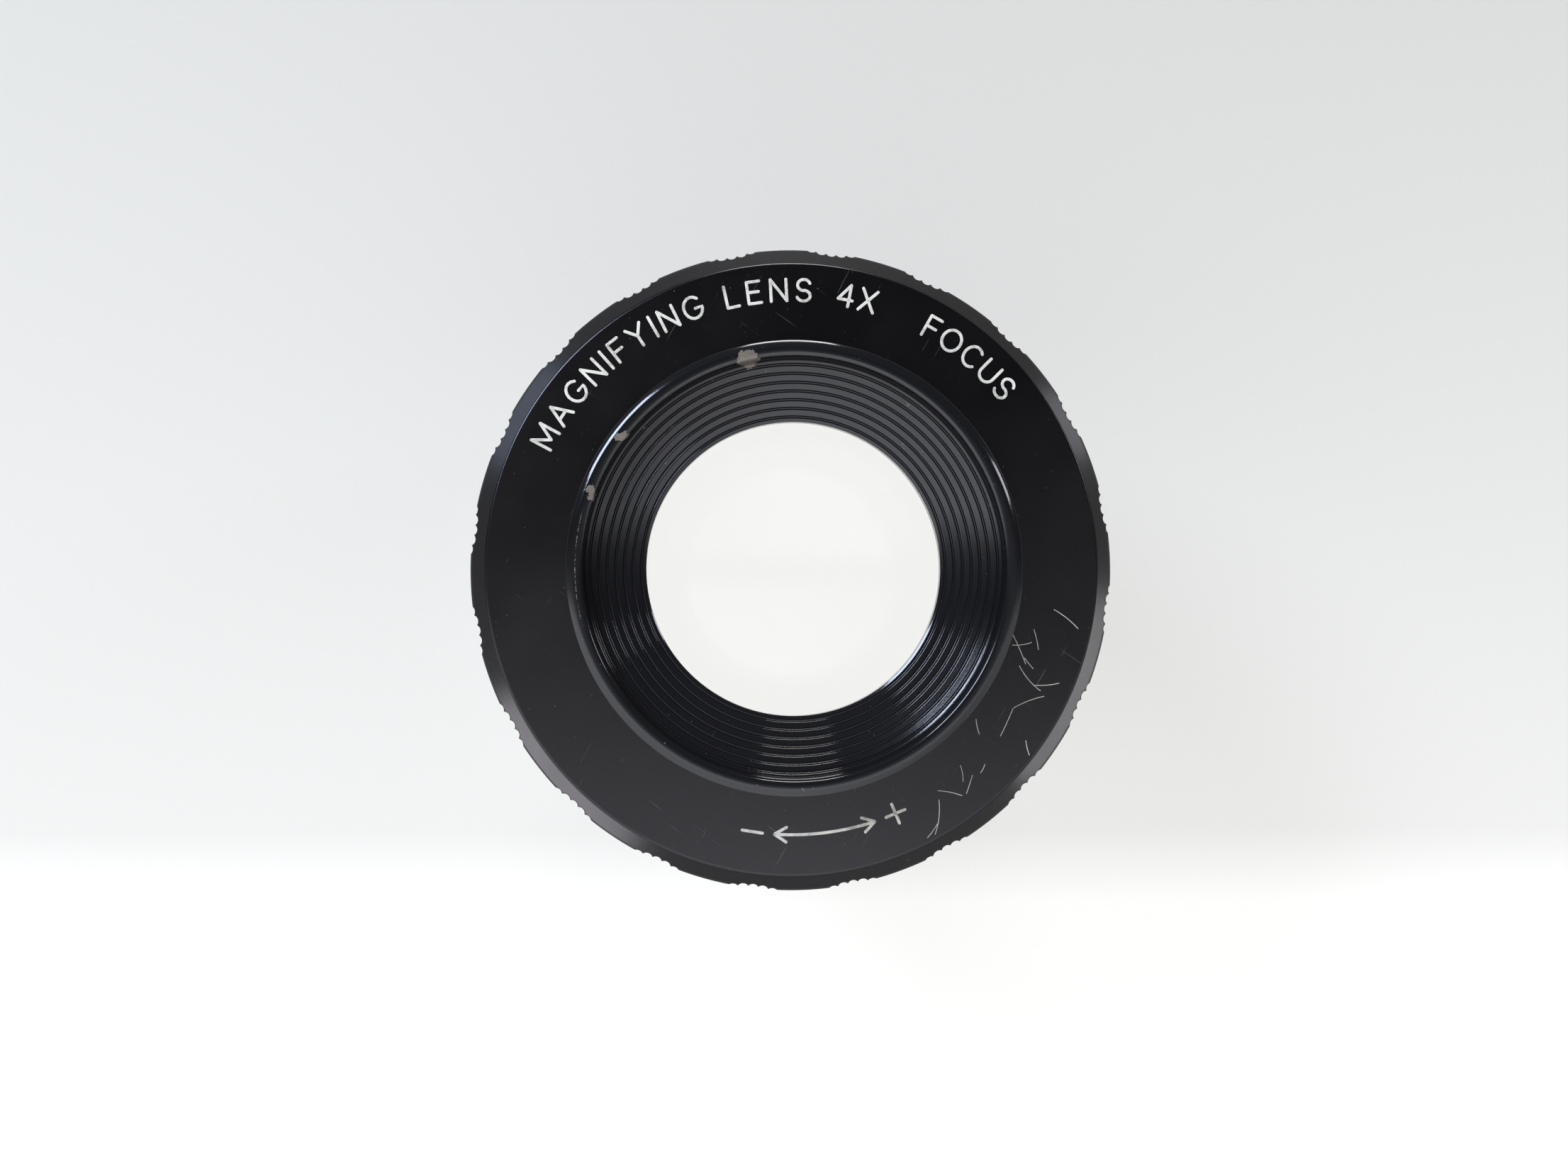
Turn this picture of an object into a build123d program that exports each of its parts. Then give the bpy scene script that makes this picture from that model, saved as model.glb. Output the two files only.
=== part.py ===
from build123d import *
from math import cos, sin, radians, sqrt
import os

# Focusing 4x stand loupe: a knurled focus ring drives a keyed lens unit up and down in a barrel,
# and the barrel stands on a clear skirt. Millimetres, +Z up along the optical axis, base at z = 0.

# Overall sizes
total_height = 62.0          # base to the top of the eyepiece lip, lens unit fully in
lens_radius = 15.5           # every radius outward to the knurled ring follows from this one
lip_height = 5.4             # eyepiece lip above the engraved face
focus_travel = 4.0           # lift of the lens unit from stop to stop

# Clearances
running_clearance = 0.05     # radial, between turning or sliding fits
seat_clearance = 0.02        # radial, between pieces of one body that are screwed together
face_gap = 0.05              # between faces that bear on each other
free_gap = 0.3               # between surfaces that must not rub

# Glass
flint_centre = 1.6
crown_edge = 1.8
cemented_curve = 40.0
inner_curve = 50.0
cement_gap = 0.02
vertex_gap = 0.6
spacer_wall = 1.4
lens_washer_thickness = 0.3

# Lens cell and its rear ring
cell_wall = 2.05
retainer_height = 2.15
retainer_width = 2.1
spanner_slot_width = 1.4
spanner_slot_depth = 0.9

# Eyepiece cup
cup_wall = 2.98              # cell thread to the lip's outer wall
lip_land = 0.8
lip_fillet = 0.3
lip_wall_run = 0.95          # how far the inner wall leans in, lip to cone
cone_top_depth = 1.7         # lip top to the start of the grooved cone
cone_throat_depth = 3.5
throat_step = 0.2
lens_seat = 2.0              # rim of the front glass that the eyepiece covers
eye_web_thickness = 1.25
cone_groove_pitch = 0.77
cone_groove_width = 0.22
cone_groove_depth = 0.2
cone_groove_start = 0.32     # cone's outer edge to the first groove

# Focus tube and helicoid
tube_step = 0.4              # focus tube beyond the lip's outer wall
focus_tube_wall = 1.8
focus_tube_web = 2.2
focus_tube_tail = 2.4        # below the guide slot
sleeve_wall = 2.93
sleeve_length = 4.4

# Focus ring
ring_wall = 3.85
face_thickness = 1.6
ring_chamfer = 1.6
ring_rear_chamfer = 0.6
ring_edge_fillet = 0.15      # softens the four outer edges of the turned profile
knurl_groups = 20
knurl_first_angle = 10.95    # degrees from +X to the middle of a group
notches_each_side = 2        # notches on each side of a group's middle notch
notch_pitch = 1.74           # degrees
notch_radius = 0.53
knurl_wheel_offset = 8.26    # ring surface to the axis of the arc the notch centres lie on
knurl_wheel_radius = 8.19

# Barrel
neck_step = 2.1              # neck's outside beyond the helicoid's bore
neck_length = 4.65
washer_thickness = 0.5
washer_width = 0.7
shoulder_step = 1.2
barrel_edge_chamfer = 0.5
guide_length = 10.5
spigot_wall = 1.8
spigot_length = 6.0
trim_groove_depth = 0.5
trim_groove_width = 1.0
trim_groove_drop = 3.0       # shoulder to the middle of the trim groove

# Clear skirt, baffle and field stop
skirt_height = 22.4
skirt_top_wall = 2.2
skirt_flare = 2.1
skirt_foot_wall = 3.0
skirt_fit = 0.1
skirt_edge_fillet = 0.4
baffle_wall = 0.9
baffle_groove_pitch = 1.2
baffle_groove_depth = 0.4
field_stop_width = 3.7
field_stop_thickness = 1.0
field_stop_chamfer = 0.6

# Screws
ring_screw_count = 4
ring_screw_angle = 19.95     # on a smooth land between two knurl groups
ring_screw_radius = 1.25
ring_screw_tip_radius = 0.75
ring_screw_rise = 2.5        # ring's rear face to the screw's axis
screw_recess = 0.6           # how deep the headless screws sit
retaining_groove_depth = 1.1
guide_screw_angle = 205.0
guide_screw_radius = 1.6
guide_screw_tip_radius = 1.2
guide_screw_rise = 3.05      # bottom of the guide bore to the screw's axis
guide_tip_depth = 1.2        # how far the tip stands into the focus tube's slot
guide_end_play = 0.25
skirt_screw_count = 3
skirt_screw_angle = 90.0
skirt_screw_radius = 1.0
skirt_screw_head_radius = 1.9
skirt_screw_head = 1.1
skirt_screw_grip = 1.7       # length in the spigot's wall
drive_slot_width = 0.5
drive_slot_depth = 0.5

# Radii, from the glass outward
cell_radius = lens_radius + face_gap + cell_wall
cup_bore_radius = cell_radius + seat_clearance
lip_radius = cup_bore_radius + cup_wall
face_bore_radius = lip_radius + free_gap
focus_tube_radius = lip_radius + tube_step
sleeve_radius = focus_tube_radius + seat_clearance + sleeve_wall
helicoid_radius = sleeve_radius + running_clearance
neck_radius = helicoid_radius + neck_step
ring_bore_radius = neck_radius + running_clearance
ring_radius = ring_bore_radius + ring_wall
barrel_radius = neck_radius + shoulder_step
skirt_bore_radius = barrel_radius - skirt_top_wall
spigot_radius = skirt_bore_radius - skirt_fit
barrel_bore_radius = spigot_radius - spigot_wall
baffle_radius = barrel_bore_radius - seat_clearance
neck_bore_radius = focus_tube_radius + running_clearance
skirt_foot_radius = barrel_radius + skirt_flare
eye_opening_radius = lens_radius - lens_seat
cone_throat_radius = eye_opening_radius + throat_step
cone_top_radius = lip_radius - lip_land - lip_wall_run
knurl_wheel_reach = ring_radius + knurl_wheel_offset

# Heights, from the lip downward
lip_top = total_height
face_top = lip_top - lip_height
face_under = face_top - face_thickness
sleeve_top = face_under - focus_travel - free_gap
sleeve_bottom = sleeve_top - sleeve_length
neck_top = sleeve_bottom - face_gap
thread_bottom = neck_top + free_gap
ring_bottom = neck_top - neck_length
ring_height = face_top - ring_bottom
shoulder = ring_bottom - washer_thickness - 2 * face_gap
guide_bottom = neck_top - guide_length
barrel_bottom = skirt_height + face_gap
spigot_bottom = barrel_bottom - spigot_length
cup_bottom = sleeve_top + face_gap
cone_top = lip_top - cone_top_depth
cone_throat = lip_top - cone_throat_depth
eye_web_under = cone_throat - eye_web_thickness
cell_top = eye_web_under - face_gap
ring_screw_height = ring_bottom + ring_screw_rise
guide_screw_height = guide_bottom + guide_screw_rise
skirt_screw_height = barrel_bottom - spigot_length / 2


def sag(curve, reach):
    """Depth of a spherical surface at a distance from its vertex."""
    return curve - sqrt(curve**2 - reach**2)


def radial_plane(angle, height, reach):
    """Plane that faces outward at an angle about the axis, its origin at the given reach."""
    outward = Vector(cos(radians(angle)), sin(radians(angle)), 0)
    return Plane(origin=outward * reach + Vector(0, 0, height), x_dir=(0, 0, 1), z_dir=outward)


def even_angles(first, count):
    return [first + 360 / count * place for place in range(count)]


def notch_reach(turn):
    """Ring axis to a notch's axis: the notch axes of a group lie on one inward-bowed arc."""
    across = knurl_wheel_reach * sin(radians(turn))
    return knurl_wheel_reach * cos(radians(turn)) - sqrt(knurl_wheel_radius**2 - across**2)


def finish(piece, label):
    piece.part.label = label
    export_step(piece.part, f"parts/{label}.step")
    print(label, len(piece.part.solids()), round(piece.part.volume, 1))


os.makedirs("parts", exist_ok=True)

# Focus ring: knurled rim, chamfer, engraved face, helicoid bore
with BuildPart() as focus_ring:
    with BuildSketch(Plane.XZ) as ring_profile:
        with BuildLine():
            Polyline(
                (face_bore_radius, face_top),
                (ring_radius - ring_chamfer, face_top),
                (ring_radius, face_top - ring_chamfer),
                (ring_radius, ring_bottom + ring_rear_chamfer),
                (ring_radius - ring_rear_chamfer, ring_bottom),
                (ring_bore_radius, ring_bottom),
                (ring_bore_radius, thread_bottom),
                (helicoid_radius, thread_bottom),
                (helicoid_radius, face_under),
                (face_bore_radius, face_under),
                close=True,
            )
        make_face()
        outer_corners = ring_profile.vertices().sort_by(Axis.X)[-4:]
        fillet(outer_corners, radius=ring_edge_fillet)
    revolve(axis=Axis.Z)
    with BuildSketch(Plane.XY.offset(ring_bottom)):
        for step in range(-notches_each_side, notches_each_side + 1):
            turn = step * notch_pitch
            with PolarLocations(notch_reach(turn), knurl_groups, knurl_first_angle + turn):
                Circle(notch_radius)
    extrude(amount=ring_height, mode=Mode.SUBTRACT)
    for angle in even_angles(ring_screw_angle, ring_screw_count):
        with BuildSketch(radial_plane(angle, ring_screw_height, neck_radius)):
            Circle(ring_screw_radius + seat_clearance)
        extrude(amount=ring_radius - neck_radius + 1, mode=Mode.SUBTRACT)
finish(focus_ring, "focus_ring")

# Four dog-point screws that hold the ring on the barrel's neck
ring_screw_end = ring_radius - screw_recess
ring_screw_tip_end = neck_radius - retaining_groove_depth + face_gap * 2
with BuildPart() as ring_screws:
    for angle in even_angles(ring_screw_angle, ring_screw_count):
        with BuildSketch(radial_plane(angle, ring_screw_height, ring_screw_tip_end)):
            Circle(ring_screw_tip_radius)
        extrude(amount=neck_radius + free_gap - ring_screw_tip_end)
        with BuildSketch(radial_plane(angle, ring_screw_height, neck_radius + free_gap)):
            Circle(ring_screw_radius)
        extrude(amount=ring_screw_end - neck_radius - free_gap)
        with BuildSketch(radial_plane(angle, ring_screw_height, ring_screw_end - drive_slot_depth)):
            Rectangle(drive_slot_width, 2 * ring_screw_radius + 1)
        extrude(amount=drive_slot_depth, mode=Mode.SUBTRACT)
finish(ring_screws, "ring_screws")

# Thin washer between the ring and the barrel's shoulder
with BuildPart() as thrust_washer:
    with BuildSketch(Plane.XY.offset(shoulder + face_gap)):
        Circle(neck_radius + seat_clearance + washer_width)
        Circle(neck_radius + seat_clearance, mode=Mode.SUBTRACT)
    extrude(amount=washer_thickness)
finish(thrust_washer, "thrust_washer")

# Barrel: neck with retaining groove, guide bore, body, skirt spigot
groove_low = ring_screw_height - ring_screw_tip_radius - 2 * face_gap
groove_high = ring_screw_height + ring_screw_tip_radius + 2 * face_gap
groove_floor = neck_radius - retaining_groove_depth
trim_low = shoulder - trim_groove_drop - trim_groove_width / 2
trim_high = trim_low + trim_groove_width
guide_cone = barrel_bore_radius - neck_bore_radius
with BuildPart() as main_barrel:
    with BuildSketch(Plane.XZ):
        with BuildLine():
            Polyline(
                (neck_bore_radius, neck_top),
                (neck_radius, neck_top),
                (neck_radius, groove_high),
                (groove_floor, groove_high),
                (groove_floor, groove_low),
                (neck_radius, groove_low),
                (neck_radius, shoulder),
                (barrel_radius - barrel_edge_chamfer, shoulder),
                (barrel_radius, shoulder - barrel_edge_chamfer),
                (barrel_radius, trim_high),
                (barrel_radius - trim_groove_depth, trim_high),
                (barrel_radius - trim_groove_depth, trim_low),
                (barrel_radius, trim_low),
                (barrel_radius, barrel_bottom),
                (spigot_radius, barrel_bottom),
                (spigot_radius, spigot_bottom),
                (barrel_bore_radius, spigot_bottom),
                (barrel_bore_radius, guide_bottom - guide_cone),
                (neck_bore_radius, guide_bottom),
                close=True,
            )
        make_face()
    revolve(axis=Axis.Z)
    with BuildSketch(radial_plane(guide_screw_angle, guide_screw_height, focus_tube_radius - 1)):
        Circle(guide_screw_radius + seat_clearance)
    extrude(amount=barrel_radius - focus_tube_radius + 2, mode=Mode.SUBTRACT)
    for angle in even_angles(skirt_screw_angle, skirt_screw_count):
        with BuildSketch(radial_plane(angle, skirt_screw_height, spigot_radius - skirt_screw_grip)):
            Circle(skirt_screw_radius + seat_clearance)
        extrude(amount=skirt_screw_grip + 1, mode=Mode.SUBTRACT)
finish(main_barrel, "main_barrel")

# Screw whose tip keeps the lens unit from turning
guide_tip_end = focus_tube_radius - guide_tip_depth
guide_body_start = neck_bore_radius + free_gap
guide_screw_end = barrel_radius - screw_recess
with BuildPart() as guide_screw:
    with BuildSketch(radial_plane(guide_screw_angle, guide_screw_height, guide_tip_end)):
        Circle(guide_screw_tip_radius)
    extrude(amount=guide_body_start - guide_tip_end)
    with BuildSketch(radial_plane(guide_screw_angle, guide_screw_height, guide_body_start)):
        Circle(guide_screw_radius)
    extrude(amount=guide_screw_end - guide_body_start)
    slot_floor = guide_screw_end - drive_slot_depth
    with BuildSketch(radial_plane(guide_screw_angle, guide_screw_height, slot_floor)):
        Rectangle(drive_slot_width, 2 * guide_screw_radius + 1)
    extrude(amount=drive_slot_depth, mode=Mode.SUBTRACT)
finish(guide_screw, "guide_screw")

# Ribbed light baffle inside the barrel
baffle_top = guide_bottom - guide_cone - free_gap
baffle_bottom = spigot_bottom + field_stop_thickness + face_gap
baffle_grooves = int((baffle_top - baffle_bottom) / baffle_groove_pitch) - 1
baffle_inner = baffle_radius - baffle_wall
ribbed_wall = []
for place in range(baffle_grooves):
    foot = baffle_bottom + baffle_groove_pitch * (place + 1)
    ribbed_wall.append((baffle_inner, foot))
    ribbed_wall.append((baffle_inner + baffle_groove_depth, foot + baffle_groove_pitch / 2))
with BuildPart() as light_baffle:
    with BuildSketch(Plane.XZ):
        with BuildLine():
            Polyline(
                (baffle_radius, baffle_bottom),
                (baffle_inner, baffle_bottom),
                *ribbed_wall,
                (baffle_inner, baffle_top),
                (baffle_radius, baffle_top),
                close=True,
            )
        make_face()
    revolve(axis=Axis.Z)
finish(light_baffle, "light_baffle")

# Field stop ring at the barrel's mouth
with BuildPart() as field_stop:
    with BuildSketch(Plane.XY.offset(spigot_bottom)):
        Circle(baffle_radius)
        Circle(baffle_radius - field_stop_width, mode=Mode.SUBTRACT)
    extrude(amount=field_stop_thickness)
    inner_edge = field_stop.edges().filter_by(GeomType.CIRCLE).sort_by(SortBy.RADIUS)[:2]
    chamfer(inner_edge.sort_by(Axis.Z)[-1], length=field_stop_chamfer)
finish(field_stop, "field_stop")

# Clear skirt
skirt_step = spigot_bottom - free_gap
with BuildPart() as clear_skirt:
    with BuildSketch(Plane.XZ):
        with BuildLine():
            Polyline(
                (skirt_bore_radius, skirt_height),
                (barrel_radius, skirt_height),
                (skirt_foot_radius, 0),
                (skirt_foot_radius - skirt_foot_wall, 0),
                (skirt_bore_radius, skirt_step),
                close=True,
            )
        make_face()
    revolve(axis=Axis.Z)
    foot_edges = clear_skirt.edges().filter_by(GeomType.CIRCLE).group_by(Axis.Z)[0]
    fillet(foot_edges, radius=skirt_edge_fillet)
    for angle in even_angles(skirt_screw_angle, skirt_screw_count):
        with BuildSketch(radial_plane(angle, skirt_screw_height, spigot_radius - 1)):
            Circle(skirt_screw_radius + skirt_fit)
        extrude(amount=skirt_foot_radius - spigot_radius + 2, mode=Mode.SUBTRACT)
        with BuildSketch(radial_plane(angle, skirt_screw_height, barrel_radius - skirt_screw_head)):
            Circle(skirt_screw_head_radius + skirt_fit)
        extrude(amount=skirt_screw_head + 2, mode=Mode.SUBTRACT)
finish(clear_skirt, "clear_skirt")

# Three screws through the skirt
skirt_screw_seat = barrel_radius - skirt_screw_head + face_gap
skirt_screw_start = spigot_radius - skirt_screw_grip + face_gap
with BuildPart() as skirt_screws:
    for angle in even_angles(skirt_screw_angle, skirt_screw_count):
        with BuildSketch(radial_plane(angle, skirt_screw_height, skirt_screw_start)):
            Circle(skirt_screw_radius)
        extrude(amount=skirt_screw_seat - skirt_screw_start)
        with BuildSketch(radial_plane(angle, skirt_screw_height, skirt_screw_seat)):
            Circle(skirt_screw_head_radius)
        extrude(amount=skirt_screw_head - face_gap)
        with BuildSketch(radial_plane(angle, skirt_screw_height, barrel_radius - drive_slot_depth)):
            Rectangle(drive_slot_width, 2 * skirt_screw_head_radius + 1)
        extrude(amount=drive_slot_depth, mode=Mode.SUBTRACT)
finish(skirt_screws, "skirt_screws")

# Focus tube: slides in the barrel, slotted for the guide screw
tube_inner = focus_tube_radius - focus_tube_wall
slot_low = guide_screw_height - focus_travel - guide_screw_tip_radius - guide_end_play
slot_high = guide_screw_height + guide_screw_tip_radius + guide_end_play
slot_width = 2 * (guide_screw_tip_radius + running_clearance)
tube_bottom = slot_low - focus_tube_tail
with BuildPart() as focus_tube:
    with BuildSketch(Plane.XZ):
        with BuildLine():
            Polyline(
                (cup_bore_radius, sleeve_top),
                (focus_tube_radius, sleeve_top),
                (focus_tube_radius, tube_bottom),
                (tube_inner, tube_bottom),
                (tube_inner, sleeve_top - focus_tube_web),
                (cup_bore_radius, sleeve_top - focus_tube_web),
                close=True,
            )
        make_face()
    revolve(axis=Axis.Z)
    slot_middle = (slot_low + slot_high) / 2
    with BuildSketch(radial_plane(guide_screw_angle, slot_middle, tube_inner - 1)):
        SlotOverall(slot_high - slot_low, slot_width)
    extrude(amount=focus_tube_wall + 2, mode=Mode.SUBTRACT)
finish(focus_tube, "focus_tube")

# Brass helicoid sleeve
with BuildPart() as helicoid_sleeve:
    with BuildSketch(Plane.XY.offset(sleeve_bottom)):
        Circle(sleeve_radius)
        Circle(focus_tube_radius + seat_clearance, mode=Mode.SUBTRACT)
    extrude(amount=sleeve_length)
finish(helicoid_sleeve, "helicoid_sleeve")

# Eyepiece cup: rounded lip, inner wall, grooved cone, throat
cone_width = cone_top_radius - cone_throat_radius
cone_slope = (cone_top - cone_throat) / cone_width
groove_room = cone_width - cone_groove_start - cone_groove_width / 2
cone_grooves = int(groove_room / cone_groove_pitch) + 1


def cone_point(along, sink=0.0):
    """Point of the cone at a radial distance in from its outer edge, sunk below the surface."""
    return (cone_top_radius - along, cone_top - along * cone_slope - sink)


grooved_cone = []
for place in range(cone_grooves):
    middle = cone_groove_start + place * cone_groove_pitch
    grooved_cone.append(cone_point(middle - cone_groove_width / 2))
    grooved_cone.append(cone_point(middle - cone_groove_width / 4, cone_groove_depth))
    grooved_cone.append(cone_point(middle + cone_groove_width / 4, cone_groove_depth))
    grooved_cone.append(cone_point(middle + cone_groove_width / 2))
with BuildPart() as eyepiece_cup:
    with BuildSketch(Plane.XZ):
        with BuildLine():
            Polyline(
                (cup_bore_radius, cup_bottom),
                (lip_radius, cup_bottom),
                (lip_radius, lip_top),
                (lip_radius - lip_land, lip_top),
                (cone_top_radius, cone_top),
                *grooved_cone,
                (cone_throat_radius, cone_throat),
                (eye_opening_radius, cone_throat - face_gap),
                (eye_opening_radius, eye_web_under),
                (cup_bore_radius, eye_web_under),
                close=True,
            )
        make_face()
    revolve(axis=Axis.Z)
    lip_edges = eyepiece_cup.edges().filter_by(GeomType.CIRCLE).group_by(Axis.Z)[-1]
    fillet(lip_edges, radius=lip_fillet)
finish(eyepiece_cup, "eyepiece_cup")

# Soft washer under the eyepiece's web
with BuildPart() as lens_washer:
    with BuildSketch(Plane.XY.offset(cell_top - lens_washer_thickness)):
        Circle(lens_radius)
        Circle(eye_opening_radius + face_gap * 2, mode=Mode.SUBTRACT)
    extrude(amount=lens_washer_thickness)
finish(lens_washer, "lens_washer")

# Glass: two cemented pairs, flint outside, crowns facing each other
cemented_sag = sag(cemented_curve, lens_radius)
inner_sag = sag(inner_curve, lens_radius)
crown_centre = cemented_sag + crown_edge + inner_sag
front_flint_top = cell_top - lens_washer_thickness - face_gap
front_cement = front_flint_top - flint_centre
front_vertex = front_cement - cement_gap - crown_centre
rear_vertex = front_vertex - vertex_gap
rear_cement = rear_vertex - crown_centre
rear_flint_bottom = rear_cement - cement_gap - flint_centre
retainer_top = rear_flint_bottom - face_gap
cell_bottom = retainer_top - retainer_height

with BuildPart() as front_flint:
    with BuildSketch(Plane.XZ):
        with BuildLine():
            Polyline(
                (0, front_cement),
                (0, front_flint_top),
                (lens_radius, front_flint_top),
                (lens_radius, front_cement - cemented_sag),
            )
            ThreePointArc(
                (lens_radius, front_cement - cemented_sag),
                (lens_radius / 2, front_cement - sag(cemented_curve, lens_radius / 2)),
                (0, front_cement),
            )
        make_face()
    revolve(axis=Axis.Z)
finish(front_flint, "front_flint")

with BuildPart() as front_crown:
    crown_top = front_cement - cement_gap
    with BuildSketch(Plane.XZ):
        with BuildLine():
            ThreePointArc(
                (lens_radius, crown_top - cemented_sag),
                (lens_radius / 2, crown_top - sag(cemented_curve, lens_radius / 2)),
                (0, crown_top),
            )
            Line((0, crown_top), (0, front_vertex))
            ThreePointArc(
                (0, front_vertex),
                (lens_radius / 2, front_vertex + sag(inner_curve, lens_radius / 2)),
                (lens_radius, front_vertex + inner_sag),
            )
            Line((lens_radius, front_vertex + inner_sag), (lens_radius, crown_top - cemented_sag))
        make_face()
    revolve(axis=Axis.Z)
finish(front_crown, "front_crown")

with BuildPart() as rear_crown:
    with BuildSketch(Plane.XZ):
        with BuildLine():
            ThreePointArc(
                (lens_radius, rear_vertex - inner_sag),
                (lens_radius / 2, rear_vertex - sag(inner_curve, lens_radius / 2)),
                (0, rear_vertex),
            )
            Line((0, rear_vertex), (0, rear_cement))
            ThreePointArc(
                (0, rear_cement),
                (lens_radius / 2, rear_cement + sag(cemented_curve, lens_radius / 2)),
                (lens_radius, rear_cement + cemented_sag),
            )
            Line((lens_radius, rear_cement + cemented_sag), (lens_radius, rear_vertex - inner_sag))
        make_face()
    revolve(axis=Axis.Z)
finish(rear_crown, "rear_crown")

with BuildPart() as rear_flint:
    flint_top = rear_cement - cement_gap
    with BuildSketch(Plane.XZ):
        with BuildLine():
            Polyline(
                (0, flint_top),
                (0, rear_flint_bottom),
                (lens_radius, rear_flint_bottom),
                (lens_radius, flint_top + cemented_sag),
            )
            ThreePointArc(
                (lens_radius, flint_top + cemented_sag),
                (lens_radius / 2, flint_top + sag(cemented_curve, lens_radius / 2)),
                (0, flint_top),
            )
        make_face()
    revolve(axis=Axis.Z)
finish(rear_flint, "rear_flint")

# Lens cell
with BuildPart() as lens_cell:
    with BuildSketch(Plane.XY.offset(cell_bottom)):
        Circle(cell_radius)
        Circle(lens_radius + face_gap, mode=Mode.SUBTRACT)
    extrude(amount=cell_top - cell_bottom)
finish(lens_cell, "lens_cell")

# Spacer between the two pairs
spacer_bore_radius = lens_radius - spacer_wall
spacer_sag = sag(inner_curve, spacer_bore_radius)
spacer_bottom = rear_vertex - spacer_sag + face_gap
spacer_top = front_vertex + spacer_sag - face_gap
with BuildPart() as lens_spacer:
    with BuildSketch(Plane.XY.offset(spacer_bottom)):
        Circle(lens_radius)
        Circle(spacer_bore_radius, mode=Mode.SUBTRACT)
    extrude(amount=spacer_top - spacer_bottom)
finish(lens_spacer, "lens_spacer")

# Rear retaining ring with two spanner slots
with BuildPart() as rear_retaining_ring:
    with BuildSketch(Plane.XY.offset(cell_bottom)):
        Circle(lens_radius)
        Circle(lens_radius - retainer_width, mode=Mode.SUBTRACT)
    extrude(amount=retainer_top - cell_bottom)
    with BuildSketch(Plane.XY.offset(cell_bottom)):
        Rectangle(2 * lens_radius + 1, spanner_slot_width)
    extrude(amount=spanner_slot_depth, mode=Mode.SUBTRACT)
finish(rear_retaining_ring, "rear_retaining_ring")
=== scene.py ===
from math import cos, degrees, pi, radians, sin, sqrt, tan
from random import Random

import bmesh
import bpy
from mathutils import Matrix, Vector


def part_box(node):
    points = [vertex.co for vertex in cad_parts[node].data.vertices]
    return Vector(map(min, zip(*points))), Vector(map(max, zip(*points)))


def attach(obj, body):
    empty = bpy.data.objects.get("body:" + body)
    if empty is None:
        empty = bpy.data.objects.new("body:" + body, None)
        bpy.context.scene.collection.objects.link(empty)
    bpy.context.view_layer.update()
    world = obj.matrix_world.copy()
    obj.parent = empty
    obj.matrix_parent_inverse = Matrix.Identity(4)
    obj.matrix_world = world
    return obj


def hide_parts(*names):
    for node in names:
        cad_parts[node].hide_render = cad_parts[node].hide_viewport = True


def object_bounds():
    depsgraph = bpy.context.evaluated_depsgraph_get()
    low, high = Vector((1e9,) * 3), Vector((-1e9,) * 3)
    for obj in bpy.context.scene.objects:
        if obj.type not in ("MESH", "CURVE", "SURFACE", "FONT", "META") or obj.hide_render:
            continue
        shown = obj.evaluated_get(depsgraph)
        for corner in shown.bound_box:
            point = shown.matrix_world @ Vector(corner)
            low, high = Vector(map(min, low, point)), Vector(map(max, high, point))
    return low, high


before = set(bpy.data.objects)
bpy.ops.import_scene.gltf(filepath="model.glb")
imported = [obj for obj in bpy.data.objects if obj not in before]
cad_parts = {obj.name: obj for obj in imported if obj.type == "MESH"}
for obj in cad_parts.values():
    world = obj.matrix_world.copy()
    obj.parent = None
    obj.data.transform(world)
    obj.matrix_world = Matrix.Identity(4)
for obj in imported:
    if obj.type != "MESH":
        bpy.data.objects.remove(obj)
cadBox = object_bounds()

# Focusing stand loupe: CAD gives the sizes and places, this script gives the looks
mm = 0.001
print("frame loaded:", len(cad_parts), "nodes")


# nodes of a material

def feed(tree, socket, value):
    # a socket takes a link from another node or a plain value
    if isinstance(value, bpy.types.NodeSocket):
        tree.links.new(value, socket)
    else:
        socket.default_value = value


def addNode(tree, kind, inputs=None, **settings):
    node = tree.nodes.new(kind)
    for key, value in settings.items():
        setattr(node, key, value)
    for key, value in (inputs or {}).items():
        feed(tree, node.inputs[key], value)
    return node


def startMaterial(name, **shaderValues):
    material = bpy.data.materials.new(name)
    material.use_nodes = True
    tree = material.node_tree
    tree.nodes.clear()
    out = addNode(tree, "ShaderNodeOutputMaterial")
    shader = addNode(tree, "ShaderNodeBsdfPrincipled", inputs=shaderValues)
    tree.links.new(shader.outputs["BSDF"], out.inputs["Surface"])
    place = addNode(tree, "ShaderNodeTexCoord").outputs["Object"]
    return material, tree, shader, place


def noiseOf(tree, place, scale, detail=3.0, rough=0.55, stretch=None):
    if stretch:  # a Mapping node squeezes the pattern along an axis
        place = addNode(tree, "ShaderNodeMapping", {"Vector": place, "Scale": stretch}).outputs[0]
    inputs = {"Vector": place, "Scale": scale, "Detail": detail, "Roughness": rough}
    return addNode(tree, "ShaderNodeTexNoise", inputs).outputs["Fac"]


def between(tree, value, low, high, toLow=0.0, toHigh=1.0):
    inputs = {"Value": value, "From Min": low, "From Max": high, "To Min": toLow, "To Max": toHigh}
    return addNode(tree, "ShaderNodeMapRange", inputs).outputs[0]


def maths(tree, operation, first, second=0.0):
    return addNode(tree, "ShaderNodeMath", {0: first, 1: second}, operation=operation).outputs[0]


def vectorMaths(tree, operation, inputs):
    return addNode(tree, "ShaderNodeVectorMath", inputs, operation=operation).outputs


def strongest(tree, masks):
    total = masks[0]
    for mask in masks[1:]:
        total = maths(tree, "MAXIMUM", total, mask)
    return total


def blendColours(tree, factor, low, high):
    return addNode(tree, "ShaderNodeMix", {0: factor, 6: low, 7: high}, data_type="RGBA").outputs[2]


def blendValues(tree, factor, low, high):
    return addNode(tree, "ShaderNodeMix", {0: factor, 2: low, 3: high}).outputs[0]


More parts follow.
